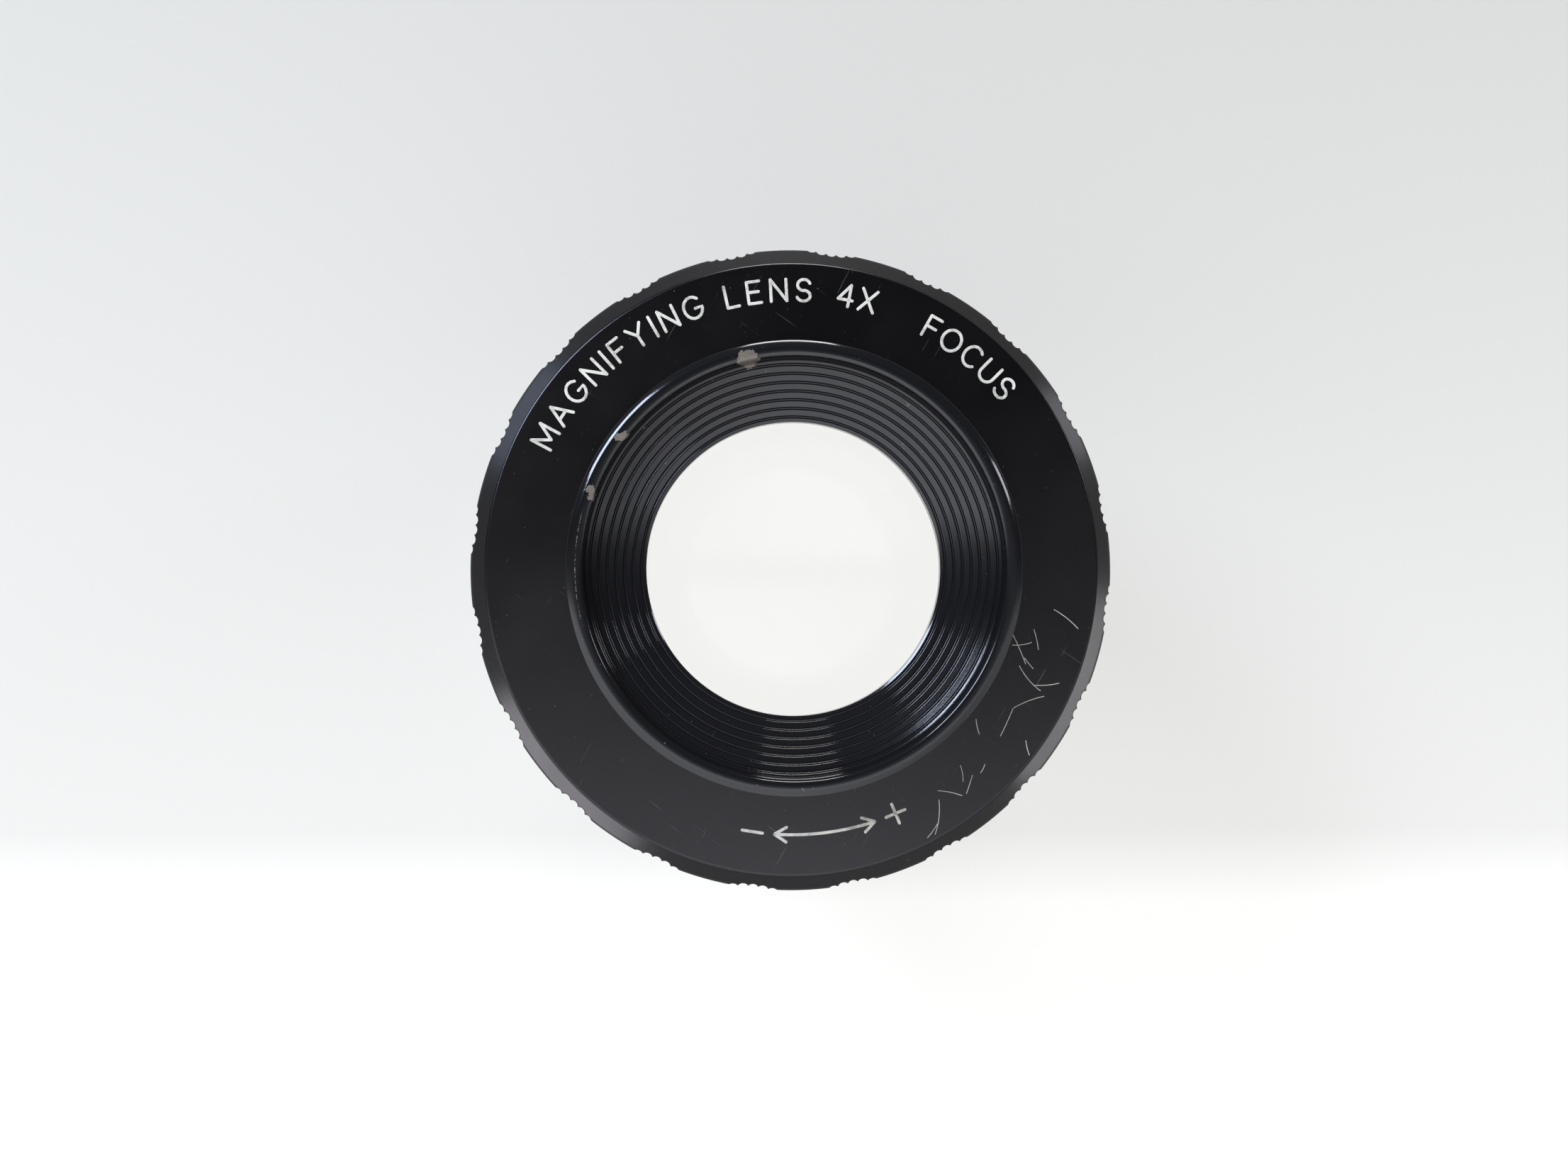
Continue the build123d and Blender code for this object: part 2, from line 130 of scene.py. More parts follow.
def mixShaders(tree, factor, first, second):
    return addNode(tree, "ShaderNodeMixShader", {0: factor, 1: first, 2: second}).outputs[0]


def bumpFrom(tree, height, strength, depth):
    inputs = {"Height": height, "Strength": strength, "Distance": depth}
    return addNode(tree, "ShaderNodeBump", inputs).outputs["Normal"]


def radiusOf(tree, place):
    # the distance from the axis, and the height
    parts = addNode(tree, "ShaderNodeSeparateXYZ", {"Vector": place}).outputs
    flat = addNode(tree, "ShaderNodeCombineXYZ", {"X": parts[0], "Y": parts[1]}).outputs[0]
    return vectorMaths(tree, "LENGTH", {0: flat})["Value"], parts[2]


# what all the black paint shares: worn specks, fine scratches and dust
wear = {
    "cloudScale": 90.0, "cloudRange": (0.3, 0.7), "fade": 0.03, "speckScale": 2600.0, "sectorCore": 0.7,
    "bareDark": (0.08, 0.068, 0.058, 1), "barePale": (0.20, 0.172, 0.145, 1), "bareScale": 1800.0,
    "bareRough": 0.22, "bareSink": 3.0,
    "scratchColour": (0.12, 0.12, 0.125, 1), "scratchShare": 0.35, "scratchSquash": 0.035,
    "scratchFade": 0.02, "patchScale": 140.0, "patchRange": (0.5, 0.62),
    "dustColour": (0.22, 0.22, 0.22, 1), "dustShare": 0.5, "dustScale": 3200.0, "dustRange": (0.74, 0.80),
}


def wearMask(tree, place, centre, width, cutoff, scale):
    # specks of bare metal in a narrow band of radius, where a turned edge gets knocked
    radius = radiusOf(tree, place)[0]
    away = maths(tree, "ABSOLUTE", maths(tree, "SUBTRACT", radius, centre))
    band = between(tree, away, 0.0, width, 1.0, 0.0)
    specks = noiseOf(tree, place, scale, 5.0, 0.65)
    return between(tree, maths(tree, "MULTIPLY", band, specks), cutoff, cutoff + wear["fade"])


def sectorMask(tree, place, clock, spread, radius):
    # one where the place lies within spread degrees of a clock angle, near a given radius
    way = (sin(radians(clock)), cos(radians(clock)), 0)
    along = vectorMaths(tree, "DOT_PRODUCT", {0: place, 1: way})["Value"]
    core = spread * wear["sectorCore"]
    return between(tree, along, radius * cos(radians(spread)), radius * cos(radians(core)))


def chipMask(tree, place, chips):
    # each spot is (x, y, z, radius); a noisy offset makes its outline ragged
    inputs = {"Vector": place, "Scale": chips["raggedScale"], "Detail": 4.0}
    noise = addNode(tree, "ShaderNodeTexNoise", inputs).outputs["Color"]
    shift = vectorMaths(tree, "SUBTRACT", {0: noise, 1: (0.5, 0.5, 0.5)})[0]
    wobble = vectorMaths(tree, "SCALE", {0: shift, "Scale": chips["raggedReach"]})[0]
    torn = vectorMaths(tree, "ADD", {0: place, 1: wobble})[0]
    masks = []
    for x, y, z, size in chips["spots"]:
        gap = vectorMaths(tree, "DISTANCE", {0: torn, 1: (x, y, z)})["Value"]
        masks.append(between(tree, gap, size * chips["core"], size, 1.0, 0.0))
    return strongest(tree, masks)


def wornLine(tree, place, chips):
    # a rubbed stretch of the lip's edge
    clock, spread = chips["line"]
    radius = chips["lineRadius"]
    specks = wearMask(tree, place, radius, chips["lineWidth"], chips["lineCutoff"], chips["lineScale"])
    return maths(tree, "MULTIPLY", specks, sectorMask(tree, place, clock, spread, radius))


def scratchMask(tree, place, turn, fine, cutoff):
    # long thin streaks: noise squeezed hard along one direction
    swung = addNode(tree, "ShaderNodeMapping", {"Vector": place, "Rotation": (0, 0, turn)}).outputs[0]
    streaks = noiseOf(tree, swung, fine, 2.0, 0.4, stretch=(1.0, wear["scratchSquash"], 1.0))
    lines = between(tree, streaks, cutoff, cutoff + wear["scratchFade"])
    patches = noiseOf(tree, place, wear["patchScale"], 2.0)
    return maths(tree, "MULTIPLY", lines, between(tree, patches, *wear["patchRange"]))


def blackPaint(name, look, chips=None):
    material, tree, shader, place = startMaterial(name, **{
        "Specular IOR Level": look["specular"], "IOR": 1.5, "Specular Tint": look.get("cast", (1, 1, 1, 1))})
    height = noiseOf(tree, place, look["grain"], 4.0)
    cloud = noiseOf(tree, place, wear["cloudScale"])
    colour = blendColours(tree, cloud, look["dark"], look["pale"])
    rough = between(tree, cloud, *wear["cloudRange"], look["smooth"], look["rough"])
    bareSpots = [wearMask(tree, place, *edge, wear["speckScale"]) for edge in look.get("edges", ())]
    if chips:
        bareSpots += [chipMask(tree, place, chips), wornLine(tree, place, chips)]
    if look.get("scratches"):
        fine, cutoff = look["scratchScale"], look["scratchCutoff"]
        lines = strongest(tree, [scratchMask(tree, place, turn, fine, cutoff) for turn in look["scratches"]])
        rubbed = maths(tree, "MULTIPLY", lines, wear["scratchShare"])
        colour = blendColours(tree, rubbed, colour, wear["scratchColour"])
    dust = between(tree, noiseOf(tree, place, wear["dustScale"], 2.0, 0.5), *wear["dustRange"])
    colour = blendColours(tree, maths(tree, "MULTIPLY", dust, wear["dustShare"]), colour, wear["dustColour"])
    if bareSpots:
        metal = strongest(tree, bareSpots)
        stain = noiseOf(tree, place, wear["bareScale"], 4.0)
        bare = blendColours(tree, stain, wear["bareDark"], wear["barePale"])
        colour = blendColours(tree, metal, colour, bare)
        rough = maths(tree, "ADD", rough, maths(tree, "MULTIPLY", metal, wear["bareRough"]))
        height = maths(tree, "SUBTRACT", height, maths(tree, "MULTIPLY", metal, wear["bareSink"]))
    tree.links.new(colour, shader.inputs["Base Color"])
    tree.links.new(rough, shader.inputs["Roughness"])
    tree.links.new(bumpFrom(tree, height, look["bump"], look["depth"]), shader.inputs["Normal"])
    return material


def turnedMetal(name, look):
    # rings left by the lathe tool, from the distance to the axis and the height
    material, tree, shader, place = startMaterial(name, Metallic=1.0)
    inputs = {"W": maths(tree, "ADD", *radiusOf(tree, place)), "Scale": look["pitch"], "Detail": 2.0}
    rings = addNode(tree, "ShaderNodeTexNoise", inputs, noise_dimensions="1D").outputs["Fac"]
    stain = noiseOf(tree, place, 260.0, 4.0)
    tree.links.new(blendColours(tree, stain, look["deep"], look["colour"]), shader.inputs["Base Color"])
    rough = between(tree, rings, 0.3, 0.7, look["rough"] * 0.7, look["rough"] * 1.3)
    tree.links.new(rough, shader.inputs["Roughness"])
    tree.links.new(bumpFrom(tree, rings, 0.35, 0.02 * mm), shader.inputs["Normal"])
    return material


def clearSolid(name, look):
    # lamps shine through it, so that what stands under it is lit
    material, tree, shader, place = startMaterial(name, **{
        "Base Color": look["tint"], "IOR": look["ior"], "Transmission Weight": 1.0,
        "Specular IOR Level": look["specular"], "Specular Tint": look["coating"]})
    smear = noiseOf(tree, place, look["smearScale"], 4.0)
    rough = between(tree, smear, 0.45, 0.75, look["smooth"], look["rough"])
    tree.links.new(rough, shader.inputs["Roughness"])
    if look.get("bump"):
        tree.links.new(bumpFrom(tree, smear, look["bump"], 0.01 * mm), shader.inputs["Normal"])
    body = shader.outputs["BSDF"]
    if look.get("coated"):
        # the coating cancels most of the mirror image, so most of the glass only refracts
        inputs = {"Color": look["tint"], "Roughness": 0.0, "IOR": look["ior"]}
        refracted = addNode(tree, "ShaderNodeBsdfRefraction", inputs).outputs["BSDF"]
        body = mixShaders(tree, look["coated"], body, refracted)
    lampRay = addNode(tree, "ShaderNodeLightPath").outputs["Is Shadow Ray"]
    through = addNode(tree, "ShaderNodeBsdfTransparent", {"Color": look["shadow"]}).outputs["BSDF"]
    out = next(node for node in tree.nodes if node.type == "OUTPUT_MATERIAL")
    tree.links.new(mixShaders(tree, lampRay, body, through), out.inputs["Surface"])
    return material


# meshes

def finishPiece(name, bm, materials, body, stands=(), bevel=0.0, sharp=35):
    mesh = bpy.data.meshes.new(name)
    bm.to_mesh(mesh)
    bm.free()
    for material in materials:
        mesh.materials.append(material)
    mesh.shade_smooth()
    mesh.set_sharp_from_angle(angle=radians(sharp))
    piece = bpy.data.objects.new(name, mesh)
    bpy.context.scene.collection.objects.link(piece)
    if bevel:
        edge = piece.modifiers.new("softEdges", "BEVEL")
        edge.width = bevel
        edge.segments = 2
        edge.limit_method = "ANGLE"
        edge.angle_limit = radians(sharp)
        edge.harden_normals = True
    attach(piece, body)
    if stands:
        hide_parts(*stands)
    return piece


def arcPoints(centre, radius, start, end, steps):
    turns = [radians(start + (end - start) * step / steps) for step in range(steps + 1)]
    return [(centre[0] + radius * cos(turn), centre[1] + radius * sin(turn)) for turn in turns]


def inMetres(outline):
    return [(radius * mm, height * mm) for radius, height in outline]


def turned(profile, steps=256, closed=True):
    # an outline of (radius, height) points, spun once round the axis; an open one starts and ends on it
    bm = bmesh.new()
    verts = [bm.verts.new((radius, 0, height)) for radius, height in profile]
    pairs = list(zip(verts, verts[1:]))
    if closed:
        pairs.append((verts[-1], verts[0]))
    edges = [bm.edges.new(pair) for pair in pairs]
    bmesh.ops.spin(bm, geom=verts + edges, cent=(0, 0, 0), axis=(0, 0, 1), angle=2 * pi, steps=steps,
                   use_merge=True)
    bmesh.ops.remove_doubles(bm, verts=bm.verts, dist=1e-7)
    bmesh.ops.recalc_face_normals(bm, faces=bm.faces)
    return bm


def radialRods(count, firstAngle, height, start, end, radius):
    # evenly spaced rods that point away from the axis
    bm = bmesh.new()
    for rod in range(count):
        angle = radians(firstAngle + rod * 360 / count)
        outward = Vector((cos(angle), sin(angle), 0))
        turn = outward.to_track_quat("Z", "Y").to_matrix().to_4x4()
        middle = outward * (start + end) / 2 + Vector((0, 0, height))
        bmesh.ops.create_cone(bm, cap_ends=True, segments=40, radius1=radius, radius2=radius,
                              depth=end - start, matrix=Matrix.Translation(middle) @ turn)
    return bm


def drill(piece, cutter):
    # takes the cutter's rods out of the piece and keeps the result as its mesh
    bmesh.ops.recalc_face_normals(cutter, faces=cutter.faces)
    toolMesh = bpy.data.meshes.new("drillTool")
    cutter.to_mesh(toolMesh)
    cutter.free()
    tool = bpy.data.objects.new("drillTool", toolMesh)
    bpy.context.scene.collection.objects.link(tool)
    others = list(piece.modifiers)
    cut = piece.modifiers.new("drill", "BOOLEAN")
    cut.operation = "DIFFERENCE"
    cut.solver = "EXACT"
    cut.object = tool
    for modifier in others:
        modifier.show_viewport = False
    evaluated = piece.evaluated_get(bpy.context.evaluated_depsgraph_get())
    drilled = bpy.data.meshes.new_from_object(evaluated)
    piece.modifiers.remove(cut)
    for modifier in others:
        modifier.show_viewport = True
    piece.data = drilled
    bpy.data.objects.remove(tool)
    bpy.data.meshes.remove(toolMesh)


# sizes read from the frame
cupLow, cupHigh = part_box("eyepiece_cup")
ringLow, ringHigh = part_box("focus_ring")
barrelLow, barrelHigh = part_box("main_barrel")
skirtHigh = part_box("clear_skirt")[1]
lipTop = cupHigh.z
lipRadius = cupHigh.x
faceTop = ringHigh.z


# eyepiece cup: rounded lip, leaning inner wall, grooved cone (mm and degrees)
eyepiece = {
    # how far in from the rim, and which way the lip leans there: outward below zero, inward above
    "lipLeans": ((0.0, -42), (0.07, -30), (0.42, -19), (0.60, -7), (0.72, -1), (0.90, 2), (1.12, 6),
                 (1.28, 16), (1.40, 40), (1.48, 64), (1.54, 74)),
    "lipInset": 0.015, "lipShare": 0.99, "rimRound": (0.25, 0.06), "footEdge": 0.1,
    "wallRun": 1.71, "wallBow": 0.14, "wallBowInward": 0.4, "boreRadius": 17.62,
    "coneDepth": 1.7, "coneBow": 0.13, "throatDepth": 3.5, "throatStep": 0.2, "throatEdge": 0.12,
    "opening": 13.5, "webThickness": 1.25,
    "grooves": 7, "groovePitch": 0.77, "grooveStart": 0.32, "grooveHalf": 0.155, "grooveDepth": 0.13,
    "grooveLand": 0.04, "grooveSoft": 0.3,
    # clock angle, radius, depth below the lip, size of each bare spot
    "chips": ((-13.7, 19.58, 0.03, 0.50), (-11.7, 19.60, 0.03, 0.46), (-13.9, 19.2, 0.3, 0.62),
              (-11.3, 19.2, 0.3, 0.60), (-12.5, 19.05, 0.95, 0.66), (-12.4, 18.85, 1.70, 0.42),
              (-53.4, 19.62, 0.05, 0.40), (-52.0, 19.4, 0.1, 0.34), (-69.2, 19.62, 0.05, 0.44),
              (-71.0, 19.4, 0.1, 0.40), (-40.7, 19.3, 0.9, 0.16), (-47.0, 18.6, 1.8, 0.15),
              (34.6, 18.2, 2.0, 0.14), (178.0, 19.9, 0.1, 0.12), (208.0, 20.0, 0.1, 0.15),
              (186.0, 19.6, 0.3, 0.12), (150.0, 19.7, 0.3, 0.12)),
}


def onLip(clock, radius, depth):
    # a place on the eyepiece from its clock angle in degrees from the top, clockwise
    return (radius * mm * sin(radians(clock)), radius * mm * cos(radians(clock)), lipTop - depth * mm)


# bare metal on the lip: ragged spots, and a worn line at a clock angle with its spread
lipChips = {
    "raggedScale": 2300.0, "raggedReach": 1.1 * mm, "core": 0.92,
    "spots": [(*onLip(clock, radius, depth), size * mm) for clock, radius, depth, size in eyepiece["chips"]],
    "line": (270, 16), "lineRadius": 19.74 * mm, "lineWidth": 0.18 * mm, "lineCutoff": 0.46,
    "lineScale": 3400.0,
}

# finishes of the pieces; edges are the radius, width and cutoff of a worn edge, in metres
ringPaint = blackPaint("satinBlackPaint", {
    "dark": (0.0013, 0.0010, 0.0013, 1), "pale": (0.0023, 0.0018, 0.0023, 1), "smooth": 0.20, "rough": 0.27,
    "cast": (0.95, 0.92, 1.0, 1), "specular": 0.5, "grain": 5200.0, "bump": 0.12, "depth": 0.02 * mm,
    "scratches": (0.5, 2.2), "scratchScale": 5200.0, "scratchCutoff": 0.72,
    "edges": ((0.0284, 0.00012, 0.62), (0.030, 0.00010, 0.76))})
cupPaint = blackPaint("glossBlackPaint", {
    "dark": (0.0060, 0.0060, 0.0072, 1), "pale": (0.0090, 0.0090, 0.0105, 1), "smooth": 0.07, "rough": 0.12,
    "cast": (0.96, 0.96, 1.0, 1), "specular": 0.55, "grain": 4200.0, "bump": 0.12, "depth": 0.02 * mm,
    "edges": ((0.01974, 0.00010, 0.66), (0.0206, 0.00006, 0.78))}, lipChips)
barrelPaint = blackPaint("barrelBlackPaint", {
    "dark": (0.004, 0.004, 0.0045, 1), "pale": (0.008, 0.008, 0.0085, 1), "smooth": 0.28, "rough": 0.38,
    "specular": 0.5, "grain": 5200.0, "bump": 0.25, "depth": 0.02 * mm})
flatBlack = blackPaint("flatBlackPaint", {
    "dark": (0.004, 0.004, 0.004, 1), "pale": (0.008, 0.008, 0.008, 1), "smooth": 0.7, "rough": 0.85,
    "specular": 0.2, "grain": 2600.0, "bump": 0.5, "depth": 0.04 * mm})
washerBlack = blackPaint("washerBlack", {
    "dark": (0.02, 0.02, 0.02, 1), "pale": (0.035, 0.035, 0.035, 1), "smooth": 0.5, "rough": 0.65,
    "specular": 0.4, "grain": 3200.0, "bump": 0.3, "depth": 0.03 * mm})
blackSteel = turnedMetal("blackenedSteel", {
    "colour": (0.16, 0.16, 0.17, 1), "deep": (0.07, 0.07, 0.075, 1), "rough": 0.35, "pitch": 9000.0})
greasedBrass = turnedMetal("greasedBrass", {
    "colour": (0.78, 0.58, 0.28, 1), "deep": (0.50, 0.35, 0.15, 1), "rough": 0.28, "pitch": 12000.0})
lensGlass = clearSolid("coatedGlass", {
    "tint": (1.0, 1.0, 0.998, 1), "ior": 1.54, "specular": 0.5, "coated": 0.82,
    "coating": (0.98, 0.95, 1.0, 1), "smearScale": 260.0, "smooth": 0.0, "rough": 0.0,
    "shadow": (0.99, 0.99, 0.985, 1)})
skirtPlastic = clearSolid("clearAcrylic", {
    "tint": (0.975, 0.99, 0.985, 1), "ior": 1.49, "specular": 0.5,
    "coating": (1, 1, 1, 1), "smearScale": 420.0, "smooth": 0.015, "rough": 0.07, "bump": 0.04,
    "shadow": (0.93, 0.95, 0.95, 1)})
print("finishes ready")


def lipLine():
    # the lip's top, followed inward from its rim: distance in, and height
    line = [(0.0, 0.0)]
    for (start, startLean), (end, endLean) in zip(eyepiece["lipLeans"], eyepiece["lipLeans"][1:]):
        for step in range(3):
            lean = startLean + (endLean - startLean) * (step + 0.5) / 3
            inward, height = line[-1]
            line.append((inward + (end - start) / 3, height - (end - start) / 3 * tan(radians(lean))))
    return line


def eyepieceProfile():
    cup = eyepiece
    top, bottom, outer = lipTop / mm, cupLow.z / mm, lipRadius / mm
    wallFoot = outer - cup["wallRun"]
    coneTop = top - cup["coneDepth"]
    throat = top - cup["throatDepth"]
    web = throat - cup["webThickness"]
    throatRadius = cup["opening"] + cup["throatStep"]
    slope = (coneTop - throat) / (wallFoot - throatRadius)
    lip = lipLine()
    crown = max(height for inward, height in lip)
    footEdge, rimX = cup["footEdge"], outer - cup["lipInset"]
    outline = [(cup["boreRadius"], bottom), (outer - footEdge, bottom), (outer, bottom + footEdge)]
    outline += [(outer, top - crown - below) for below in cup["rimRound"]]
    outline += [(rimX - inward * cup["lipShare"], top - crown + height) for inward, height in lip]
    # the inner wall is a little hollow from the lip down to the cone
    highX, highZ = outline[-1]
    for step in range(1, 10):
        share = step / 10
        bow = cup["wallBow"] * sin(pi * share)
        outline.append((highX + (wallFoot - highX) * share - bow * cup["wallBowInward"],
                        highZ + (coneTop - highZ) * share - bow))
    outline.append((wallFoot, coneTop))

    def conePoint(along, sink):
        # the cone bows down a little between the wall and the throat
        share = along / (wallFoot - throatRadius)
        return (wallFoot - along, coneTop - along * slope - cup["coneBow"] * 4 * share * (1 - share) - sink)

    for groove in range(cup["grooves"]):
        middle = cup["grooveStart"] + groove * cup["groovePitch"]
        outline.append(conePoint(middle - cup["grooveHalf"] - cup["grooveLand"], 0))
        for step in range(13):
            turn = (step - 6) / 6
            # a round-bottomed cut with a crisp edge on each side
            soft = cup["grooveSoft"] * (0.5 + 0.5 * cos(pi * turn))
            crisp = (1 - cup["grooveSoft"]) * cos(pi / 2 * turn)
            outline.append(conePoint(middle + cup["grooveHalf"] * turn, cup["grooveDepth"] * (soft + crisp)))
        outline.append(conePoint(middle + cup["grooveHalf"] + cup["grooveLand"], 0))
    outline += [(throatRadius, throat), (cup["opening"], throat - cup["throatEdge"]), (cup["opening"], web)]
    outline.append((cup["boreRadius"], web))
    return inMetres(outline)


finishPiece("eyepieceCup", turned(eyepieceProfile(), 320), [cupPaint], "lens_unit", ["eyepiece_cup"],
            sharp=40)
print("eyepiece cup made")


# focus ring: a fine round mesh whose outer points are pulled in where the knurl wheel cut
knurl = {"groups": 20, "firstAngle": 10.95, "sideNotches": 2, "pitch": 1.74, "notchRadius": 0.53,
         "wheelOffset": 8.26, "wheelRadius": 8.19, "notchSteps": 10, "landSteps": 8}
ring = {
    "boreRadius": 26.15, "boreFoot": 0.1, "threadRadius": 24.0, "threadBottom": 46.55,
    "chamfer": 1.6, "edgeRound": 0.35, "roundShare": 0.414, "faceThickness": 1.6, "faceBore": 20.9,
    "boreEdge": 0.12, "faceRows": (25.4, 23.0),
    # in from the rim and up from the rear, round the rear edge
    "rearEdge": ((0.72, 0.0), (0.58, 0.06), (0.45, 0.2), (0.3, 0.34), (0.15, 0.48), (0.04, 0.62),
                 (0.0, 0.78)),
    # in from the rim and up from the foot of the front chamfer
    "chamferFoot": ((0.0, -0.12), (0.03, -0.02), (0.10, 0.08)), "chamferStep": 0.09,
    "screws": 4, "screwAngle": 19.95, "screwRise": 2.5, "screwRadius": 1.27, "screwReach": (25, 31),
}


def knurlReach(local, outer):
    # how far the rim stands from the axis, at an angle from the middle of a group of notches
    wheel = outer + knurl["wheelOffset"]
    reach = outer
    for step in range(-knurl["sideNotches"], knurl["sideNotches"] + 1):
        turn = radians(step * knurl["pitch"])
        centre = wheel * cos(turn) - sqrt(knurl["wheelRadius"] ** 2 - (wheel * sin(turn)) ** 2)
        aside = centre * sin(radians(local) - turn)
        if abs(aside) < knurl["notchRadius"]:
            deep = sqrt(knurl["notchRadius"] ** 2 - aside ** 2)
            reach = min(reach, centre * cos(radians(local) - turn) - deep)
    return reach


def rimColumns(outer):
    # angle in radians and reach in mm for every column of the rim
    groups, landSteps = knurl["groups"], knurl["landSteps"]
    period = 360 / groups
    edge = (knurl["sideNotches"] + 0.5) * knurl["pitch"]
    steps = (2 * knurl["sideNotches"] + 1) * knurl["notchSteps"]
    local = [-edge + 2 * edge * step / steps for step in range(steps)]
    local += [edge + (period - 2 * edge) * step / landSteps for step in range(landSteps)]
    columns = []
    for group in range(groups):
        for angle in local:
            columns.append((radians(knurl["firstAngle"] + group * period + angle), knurlReach(angle, outer)))
    return columns


def ringRows():
    # radius and height of every row, from the rear of the bore round the outside and back
    outer, top, bottom = ringHigh.x / mm, faceTop / mm, ringLow.z / mm
    bore, foot, thread = ring["boreRadius"], ring["boreFoot"], ring["threadRadius"]
    rows = [(bore, bottom + foot), (bore + foot, bottom)]
    rows += [(outer - inward, bottom + rise) for inward, rise in ring["rearEdge"]]
    rows += [(outer, bottom + 1.6 + step * (top - bottom - 4.2) / 6) for step in range(7)]
    tilt = top - ring["chamfer"]
    tiltStep = ring["chamferStep"]
    rows += [(outer - inward, tilt + rise) for inward, rise in ring["chamferFoot"]]
    rows += [(outer - step * tiltStep - 0.1, tilt + step * tiltStep + 0.1) for step in range(1, 6)]
    rows.append((outer - 1.0, tilt + 1.0))
    soft = ring["edgeRound"]
    mitre = soft * ring["roundShare"]
    faceEdge = outer - ring["chamfer"]
    rows.append((faceEdge + mitre, top - mitre))
    rows += arcPoints((faceEdge - mitre, top - soft), soft, 45, 90, 6)
    rows += [(faceEdge - mitre - 0.06, top), (faceEdge - 0.5, top), (faceEdge - ring["chamfer"], top)]
    rows += [(radius, top) for radius in ring["faceRows"]]
    rows += [(ring["faceBore"] + ring["boreEdge"], top), (ring["faceBore"], top - ring["boreEdge"])]
    rear = top - ring["faceThickness"]
    rows += [(ring["faceBore"], rear), (thread, rear), (thread, ring["threadBottom"])]
    rows.append((bore, ring["threadBottom"]))
    return rows


def knurledRing():
    outer = ringHigh.x / mm
    columns = rimColumns(outer)
    rows = ringRows()
    bm = bmesh.new()
    loop = bmesh.ops.create_circle(bm, segments=len(columns), radius=rows[0][0] * mm)["verts"]
    column = {vert: place for vert, place in zip(loop, columns)}
    edges = list(bm.edges)
    firstEdges = edges
    for index, (radius, height) in enumerate(rows):
        if index:
            order = {tuple(vert.co): column[vert] for vert in column}
            grown = bmesh.ops.extrude_edge_only(bm, edges=edges)["geom"]
            edges = [item for item in grown if isinstance(item, bmesh.types.BMEdge)]
            column = {vert: order[tuple(vert.co)] for vert in grown if isinstance(vert, bmesh.types.BMVert)}
            edges = [edge for edge in edges if all(vert in column for vert in edge.verts)]
        for vert, (angle, reach) in column.items():
            span = min(radius, reach) * mm
            vert.co = (span * cos(angle), span * sin(angle), height * mm)
    bmesh.ops.bridge_loops(bm, edges=firstEdges + edges)
    bmesh.ops.recalc_face_normals(bm, faces=bm.faces)
    return bm


focusRing = finishPiece("focusRing", knurledRing(), [ringPaint], "focus_head", ["focus_ring"],
                        sharp=34)
start, end = ring["screwReach"]
drill(focusRing, radialRods(ring["screws"], ring["screwAngle"], ringLow.z + ring["screwRise"] * mm,
                            start * mm, end * mm, ring["screwRadius"] * mm))
print("focus ring made:", len(focusRing.data.polygons), "faces")


# glass: four elements whose edges are painted black
glass = {"cementedCurve": 40.0, "innerCurve": 50.0, "rings": 56, "flatRings": 6, "steps": 240,
         "rimSlope": 0.2, "rimShare": 0.98}


def dome(curve, vertex, edge, sign):
    # half of a spherical surface, from the axis out to the edge
    reach = [edge * step / glass["rings"] for step in range(glass["rings"] + 1)]
    return [(span, vertex + sign * (curve - sqrt(curve ** 2 - span ** 2))) for span in reach]


def lensPiece(name, node, upper, lower):
    # upper and lower are (curve in mm or None for flat, +1 or -1 for the way the rim lies from the vertex)
    low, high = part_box(node)
    edge = high.x
    surfaces = []
    for (curve, sign), extreme in ((upper, high.z), (lower, low.z)):
        if curve is None:
            flatRings = glass["flatRings"]
            surfaces.append([(edge * step / flatRings, extreme) for step in range(flatRings + 1)])
            continue
        sag = curve * mm - sqrt((curve * mm) ** 2 - edge ** 2)
        isHigh = extreme == high.z
        vertex = extreme if (sign < 0) == isHigh else extreme - sign * sag
        surfaces.append(dome(curve * mm, vertex, edge, sign))
    outline = surfaces[0] + surfaces[1][::-1]
    bm = turned(outline, glass["steps"], closed=False)
    for face in bm.faces:
        middle = face.calc_center_median()
        farOut = Vector((middle.x, middle.y)).length > edge * glass["rimShare"]
        face.material_index = 1 if farOut and abs(face.normal.z) < glass["rimSlope"] else 0
    return finishPiece(name, bm, [lensGlass, flatBlack], "lens_unit", [node])


flat = (None, 0)
cemented, inner = glass["cementedCurve"], glass["innerCurve"]
lenses = [
    lensPiece("frontFlint", "front_flint", flat, (cemented, -1)),
    lensPiece("frontCrown", "front_crown", (cemented, -1), (inner, 1)),
    lensPiece("rearCrown", "rear_crown", (inner, -1), (cemented, 1)),
    lensPiece("rearFlint", "rear_flint", (cemented, 1), flat),
]
print("glass made")


# barrel: neck, shoulder, trim groove, spigot
barrel = {
    "neckRadius": 26.1, "shoulder": 41.0, "edge": 0.5, "seat": 22.45, "spigotRadius": 25.0,
    "boreRadius": 23.2, "guideRadius": 21.05, "guideBottom": 35.75, "bevel": 0.12,
    "groove": (43.25, 44.95, 25.0),  # bottom, top, radius
    "trim": (37.5, 38.5, 0.5),  # bottom, top, depth
    "screwAngle": 205.0, "screwHeight": 38.8, "screwRadius": 1.62, "screwReach": (20, 28.5),
}


